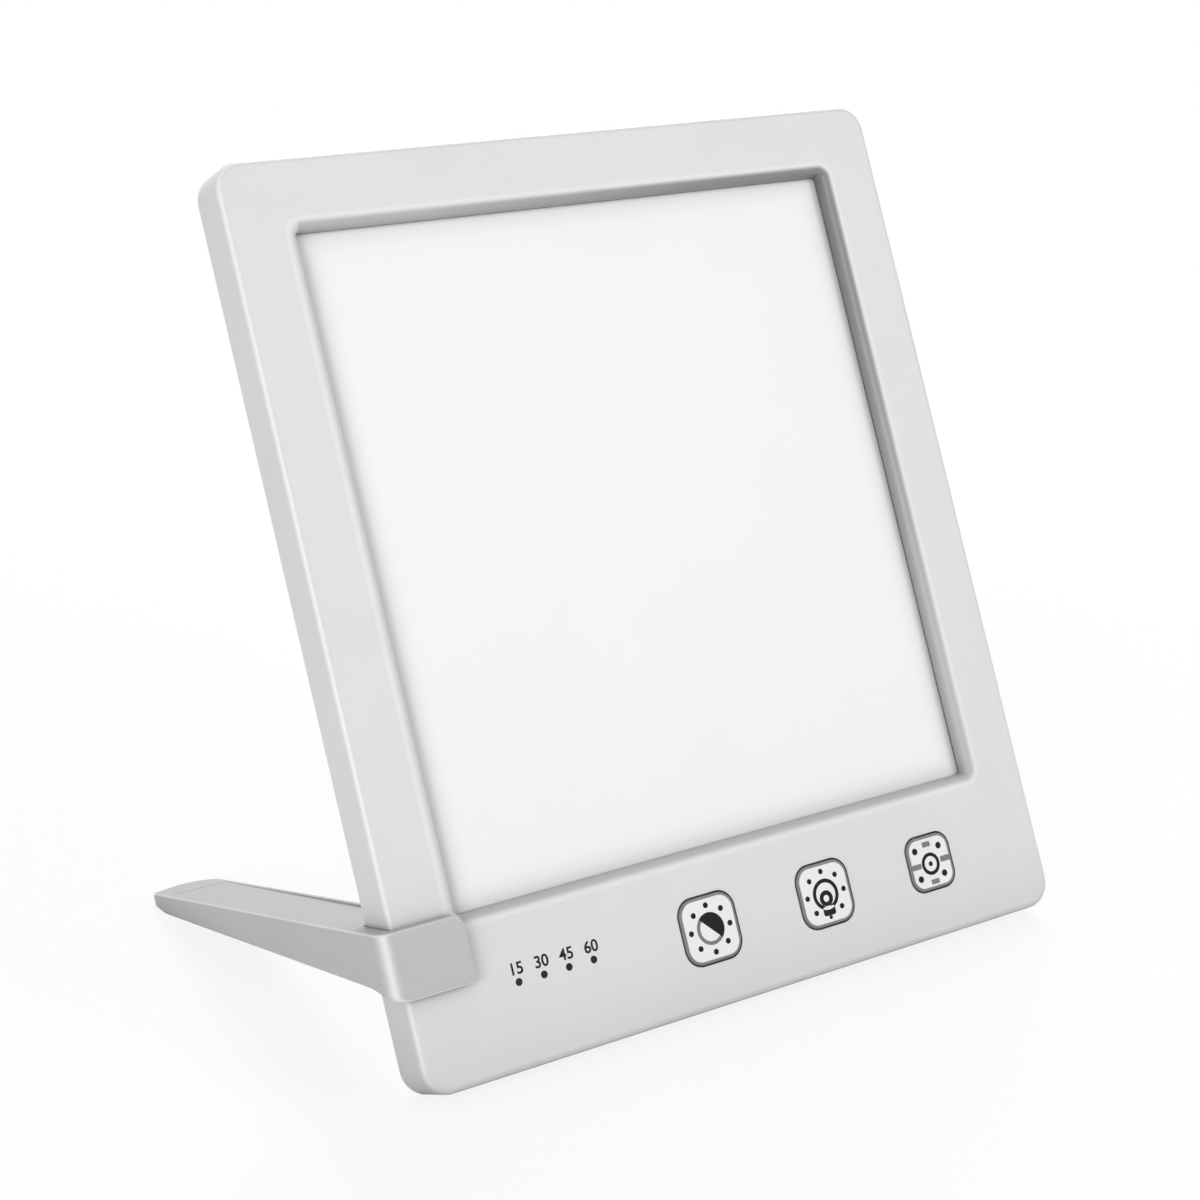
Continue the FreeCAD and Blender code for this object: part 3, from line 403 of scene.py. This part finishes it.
def key_cap(node):
    """White key cap with a grey border over its edge, part printed ring and part painted shade of the gap
    round the cap.
    """
    shader = moulded(node + "_white", (0.90, 0.90, 0.90), 0.3, 0.25, 0.006)
    left, right = span(node, RIGHT)
    low, high = span(node, UP)
    flange = KEY_FLANGE * MM
    left, right = left + flange, right - flange
    low, high = low + flange, high - flange
    corner = KEY_CORNER_SHARE * (right - left) / MM
    inward = inset(shader, left, right, low, high, corner)
    # Grey border round the cap: part printed ring, part painted shade of the gap round the cap.
    start, end = (KEY_BORDER + reach for reach in KEY_BORDER_EDGE)
    border = shader.maths("SUBTRACT", 1.0, shader.ease(inward, start, end))
    shader.shade(border, KEY_BORDER_SHADE)
    return shader


FINISHES = {
    "case_white": lambda n: front_case(n, (0.77, 0.77, 0.775)),
    "cover_white": lambda n: moulded(n, (0.72, 0.72, 0.725), 0.52, 0.3, 0.02),
    "foot_white": lambda n: foot(n, (0.535, 0.535, 0.538)),
    "opal_diffuser": lambda n: opal(n, (0.965, 0.965, 0.965)),
    "clear_film": lambda n: resin(n, (0.95, 0.97, 1.0), 0.2, Transmission_Weight=0.6),
    "clear_acrylic": lambda n: resin(n, (0.93, 0.97, 0.97), 0.05, Transmission_Weight=0.9),
    "white_film": lambda n: moulded(n, (0.92, 0.92, 0.92), 0.6),
    "tray_aluminium": lambda n: metal(n, (0.78, 0.79, 0.80), 0.35, 0.2, (1, 14, 14)),
    "strip_board_white": lambda n: moulded(n, (0.88, 0.88, 0.87), 0.4),
    "led_phosphor": lambda n: resin(n, (0.90, 0.76, 0.30), 0.25),
    "board_green": lambda n: resin(n, (0.03, 0.20, 0.08), 0.25),
    "connector_cream": lambda n: moulded(n, (0.80, 0.74, 0.60), 0.5),
    "part_black": lambda n: moulded(n, (0.025, 0.025, 0.027), 0.45),
    "switch_body": lambda n: moulded(n, (0.05, 0.05, 0.055), 0.5),
    "coil_grey": lambda n: moulded(n, (0.10, 0.10, 0.105), 0.6, 0.1, 0.03),
    "capacitor_can": lambda n: metal(n, (0.72, 0.73, 0.75), 0.28, 0.15, (1, 1, 12)),
    "contact_brass": lambda n: metal(n, (0.80, 0.62, 0.30), 0.22),
    "lens_dark": lambda n: resin(n, (0.012, 0.012, 0.013), 0.12, Specular_IOR_Level=0.2),
    "foam_grey": lambda n: moulded(n, (0.12, 0.12, 0.125), 0.9, 0.35, 0.08),
    "screw_steel": lambda n: metal(n, (0.62, 0.63, 0.65), 0.3),
    "tip_rubber": lambda n: moulded(n, (0.05, 0.05, 0.052), 0.75, 0.2, 0.03),
}


def dress_nodes():
    """Gives every CAD node the finish of its material slot, and each key its own border."""
    made = {slot: make(slot).material for slot, make in FINISHES.items()}
    for part in frame["record"]["subparts"]:
        name, slot = part["node"], part["material_slot"]
        finish = key_cap(name).material if slot == "key_white" else made[slot]
        materials = frame["nodes"][name].data.materials
        materials.clear()
        materials.append(finish)


# Printed signs


def circle(x, y, radius, steps=RING_STEPS, start=0.0, sweep=360.0):
    """Points of a circle or of a part of one, in millimetres and degrees."""
    whole = sweep >= 360
    count = steps if whole else steps + 1
    turn = [math.radians(start + sweep * i / steps) for i in range(count)]
    return [(x + radius * math.cos(a), y + radius * math.sin(a)) for a in turn]


def bar(x, y, width, height, radius=0.2):
    """Points of a rounded bar."""
    points = []
    for corner, (sx, sy) in enumerate(((1, 1), (-1, 1), (-1, -1), (1, -1))):
        cx = x + sx * (width / 2 - radius)
        cy = y + sy * (height / 2 - radius)
        points += circle(cx, cy, radius, 6, corner * 90, 90)
    return points


def to_mesh(curve, name, matrix):
    """A filled curve turned into a mesh piece at its place."""
    holder = bpy.data.objects.new(name + "_outline", curve)
    mesh = bpy.data.meshes.new_from_object(holder)
    bpy.data.objects.remove(holder)
    bpy.data.curves.remove(curve)
    mesh.name = name
    mesh.transform(matrix)
    piece = bpy.data.objects.new(name, mesh)
    bpy.context.scene.collection.objects.link(piece)
    return piece


def print_sign(name, loops, matrix, material, body):
    """A printed sign from closed outlines, where an outline inside another is a hole."""
    curve = bpy.data.curves.new(name, "CURVE")
    curve.dimensions = "2D"
    curve.fill_mode = "BOTH"
    curve.extrude = INK_THICKNESS / 2
    for loop in loops:
        spline = curve.splines.new("POLY")
        spline.points.add(len(loop) - 1)
        for point, (x, y) in zip(spline.points, loop):
            point.co = (x, y, 0, 1)
        spline.use_cyclic_u = True
    return finish_sign(to_mesh(curve, name, matrix), material, body)


def print_label(name, text, matrix, material, body):
    """A printed number."""
    curve = bpy.data.curves.new(name, "FONT")
    curve.body = text
    curve.size = LABEL_HEIGHT / 0.7
    curve.align_x = "CENTER"
    curve.align_y = "CENTER"
    curve.extrude = INK_THICKNESS / 2
    curve.offset = LABEL_BOLD
    return finish_sign(to_mesh(curve, name, matrix), material, body)


def finish_sign(piece, material, body):
    """Gives a sign its ink and body."""
    piece.data.materials.append(material)
    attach(piece, body)
    return piece


def dots(radius, size, turns):
    """Small dots round a circle."""
    loops = []
    for turn in turns:
        a = math.radians(turn)
        loops.append(circle(radius * math.cos(a), radius * math.sin(a), size / 2, DOT_STEPS))
    return loops


def brightness_sign():
    """Disc, one half dark, with eight dots for rays."""
    half = circle(0, 0, 3.45, RING_STEPS, -45, 180)
    rest = circle(0, 0, 3.45, RING_STEPS, 135, 180) + circle(0, 0, 2.65, RING_STEPS, 315, -180)
    return {"dark": [half] + dots(5.0, 1.25, range(0, 360, 45)), "grey": [rest]}


def colour_sign():
    """Lamp bulb with a small ring inside and eight dots for rays."""
    bulb = [circle(0, -0.1, 3.4), circle(0, -0.1, 2.55)]
    inner = [circle(-0.1, -1.0, 1.75), circle(-0.1, -1.0, 0.75)]
    base = [bar(0, -3.75, 3.2, 2.0, 0.5)]
    rays = dots(4.95, 1.2, (0, 45, 90, 135, 180, 225, 315)) + dots(5.15, 0.9, (270,))
    return {"dark": bulb + inner + base + rays}


def timer_sign():
    """Small ring with a mark in the middle, four corner dots and four bars."""
    ring = [circle(-0.1, -0.35, 2.5), circle(-0.1, -0.35, 1.7)]
    mark = [circle(-0.1, -0.35, 0.55, DOT_STEPS)]
    corners = [circle(x, y, 0.75, DOT_STEPS) for x in (-3.7, 3.1) for y in (-3.15, 3.15)]
    bars = [
        bar(-0.2, 4.1, 2.2, 1.2),
        bar(0.1, -4.4, 2.2, 1.1),
        bar(-4.1, -0.3, 2.6, 1.2),
        bar(4.2, 0, 2.8, 1.3),
    ]
    return {"dark": ring + mark + corners, "grey": bars}


def print_signs(inks):
    """Signs on the keys and numbers above the timer lights."""
    signs = {"brightness": brightness_sign(), "colour": colour_sign(), "timer": timer_sign()}
    lift = (INK_THICKNESS / 2 - INK_SUNK) * MM
    for key, layers in signs.items():
        node = key + "_key"
        top = span(node, OUT)[1] + lift
        place = on_panel(middle(node, RIGHT), middle(node, UP), top)
        for ink, loops in layers.items():
            print_sign(f"{key}_sign_{ink}", loops, place, inks[ink], key + "_button")
    face = span("front_case", OUT)[1] + lift
    for minutes in ("15", "30", "45", "60"):
        node = "timer_light_" + minutes
        y = span(node, UP)[1] + LABEL_RISE * MM
        place = on_panel(middle(node, RIGHT), y, face)
        print_label("timer_label_" + minutes, minutes, place, inks["dark"], "panel")


# Stage


def make_floor():
    """Pale floor that keeps the object's shadow and runs out to white."""
    bpy.ops.mesh.primitive_plane_add(size=FLOOR_SIZE, location=(0, 0, 0))
    floor = bpy.context.object
    floor.name = "floor"
    shader = Shader("floor", (FLOOR_SEEN, FLOOR_SEEN, FLOOR_SEEN), 0.9, Specular_IOR_Level=0.2)
    path = shader.add("ShaderNodeLightPath")
    direct = path.outputs["Is Camera Ray"]
    shader.tint(direct, FLOOR_BOUNCE / FLOOR_SEEN, 1.0)
    length = shader.add("ShaderNodeVectorMath", operation="LENGTH")
    shader.links.new(shader.place, length.inputs[0])
    far = shader.ease(length.outputs["Value"], FLOOR_NEAR, FLOOR_FAR)
    share = shader.maths("ADD", shader.maths("MULTIPLY", far, 1 - FLOOR_WHITE), FLOOR_WHITE)
    mix = shader.add("ShaderNodeMixShader")
    shader.links.new(shader.maths("MULTIPLY", direct, share), mix.inputs[0])
    shader.links.new(shader.surface.outputs[0], mix.inputs[1])
    shader.links.new(shader.add("ShaderNodeEmission").outputs[0], mix.inputs[2])
    shader.links.new(mix.outputs[0], shader.nodes["Material Output"].inputs["Surface"])
    floor.data.materials.append(shader.material)


def make_world():
    """Even light, and white where the camera or a reflection looks past the floor."""
    world = bpy.data.worlds.new("studio")
    bpy.context.scene.world = world
    world.use_nodes = True
    nodes = world.node_tree.nodes
    links = world.node_tree.links
    light = nodes["Background"]
    light.inputs["Strength"].default_value = WORLD_LIGHT
    white = nodes.new("ShaderNodeBackground")
    white.inputs["Color"].default_value = (1, 1, 1, 1)
    light.inputs["Color"].default_value = (1, 1, 1, 1)
    path = nodes.new("ShaderNodeLightPath")
    seen = nodes.new("ShaderNodeMath")
    seen.operation = "MAXIMUM"
    either = nodes.new("ShaderNodeMath")
    either.operation = "MAXIMUM"
    mix = nodes.new("ShaderNodeMixShader")
    links.new(path.outputs["Is Camera Ray"], seen.inputs[0])
    links.new(path.outputs["Is Glossy Ray"], seen.inputs[1])
    links.new(seen.outputs[0], either.inputs[0])
    links.new(path.outputs["Is Transmission Ray"], either.inputs[1])
    links.new(either.outputs[0], mix.inputs[0])
    links.new(light.outputs[0], mix.inputs[1])
    links.new(white.outputs[0], mix.inputs[2])
    links.new(mix.outputs[0], nodes["World Output"].inputs["Surface"])


def make_light(name, place, size, power):
    """A soft square lamp that looks at the object."""
    data = bpy.data.lights.new(name, "AREA")
    data.size = size
    data.energy = power
    lamp = bpy.data.objects.new(name, data)
    lamp.location = place
    aim = Vector(LIGHT_TARGET) - Vector(place)
    lamp.rotation_euler = aim.to_track_quat("-Z", "Y").to_euler()
    bpy.context.scene.collection.objects.link(lamp)


def make_camera():
    """The photograph's view."""
    data = bpy.data.cameras.new("camera")
    data.lens = CAMERA_LENS
    data.sensor_width = CAMERA_SENSOR
    data.clip_start = 0.01
    data.clip_end = 30
    camera = bpy.data.objects.new("camera", data)
    camera.location = CAMERA_PLACE
    look = Vector(CAMERA_FORWARD).to_track_quat("-Z", "Y").to_matrix().to_4x4()
    roll = Matrix.Rotation(math.radians(CAMERA_ROLL), 4, "Z")
    camera.matrix_world = Matrix.Translation(CAMERA_PLACE) @ look @ roll
    bpy.context.scene.collection.objects.link(camera)
    bpy.context.scene.camera = camera


make_camera()
make_world()
make_floor()
for light_name, (light_place, light_size, light_power) in LIGHTS.items():
    make_light(light_name, light_place, light_size, light_power)
dress_nodes()
inks = {
    "dark": resin("ink_dark", (0.012, 0.012, 0.013), 0.4, Specular_IOR_Level=0.1).material,
    "grey": resin("ink_grey", (0.22, 0.22, 0.225), 0.45, Specular_IOR_Level=0.2).material,
}
print_signs(inks)

bpy.context.scene.view_settings.view_transform = "Standard"
